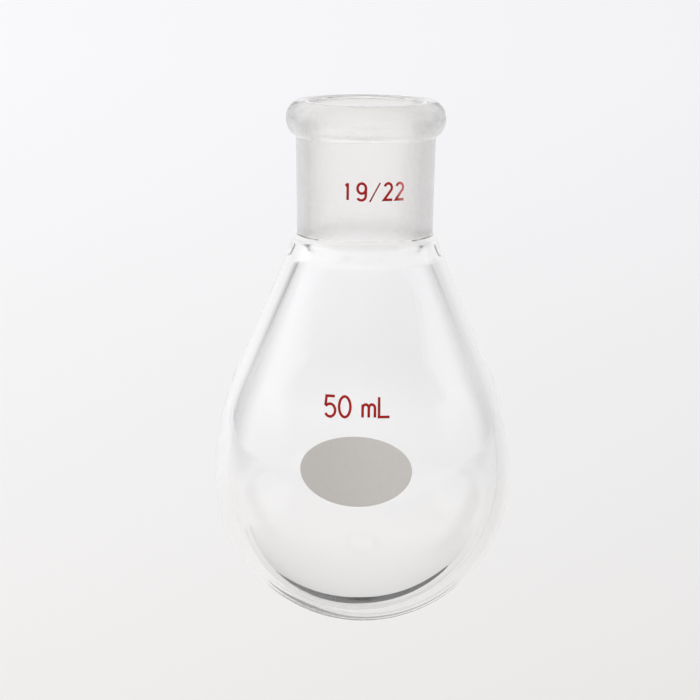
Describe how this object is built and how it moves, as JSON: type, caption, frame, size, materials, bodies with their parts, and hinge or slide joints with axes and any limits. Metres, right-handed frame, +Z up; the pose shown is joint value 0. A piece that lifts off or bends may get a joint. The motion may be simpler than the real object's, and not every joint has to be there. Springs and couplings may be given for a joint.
{
  "type": "recovery flask",
  "caption": "Pear-shaped heavy-wall glass flask with a round bottom, a ground taper socket under a rolled bead, and an enamel marking spot.",
  "frame": {"origin": "centre of the socket's mouth, level with the top of the lip", "axes": "+Z up along the flask's axis and out of the mouth, -Y to the front, where the marking spot is"},
  "size_m": [0.0494, 0.0496, 0.0873],
  "materials": {
    "clear_glass": "polished",
    "spot_enamel": "satin",
    "red_enamel": "gloss"
  },
  "bodies": {
    "root": {"flask": "clear_glass", "marking_spot": "spot_enamel"}
  },
  "joints": []
}
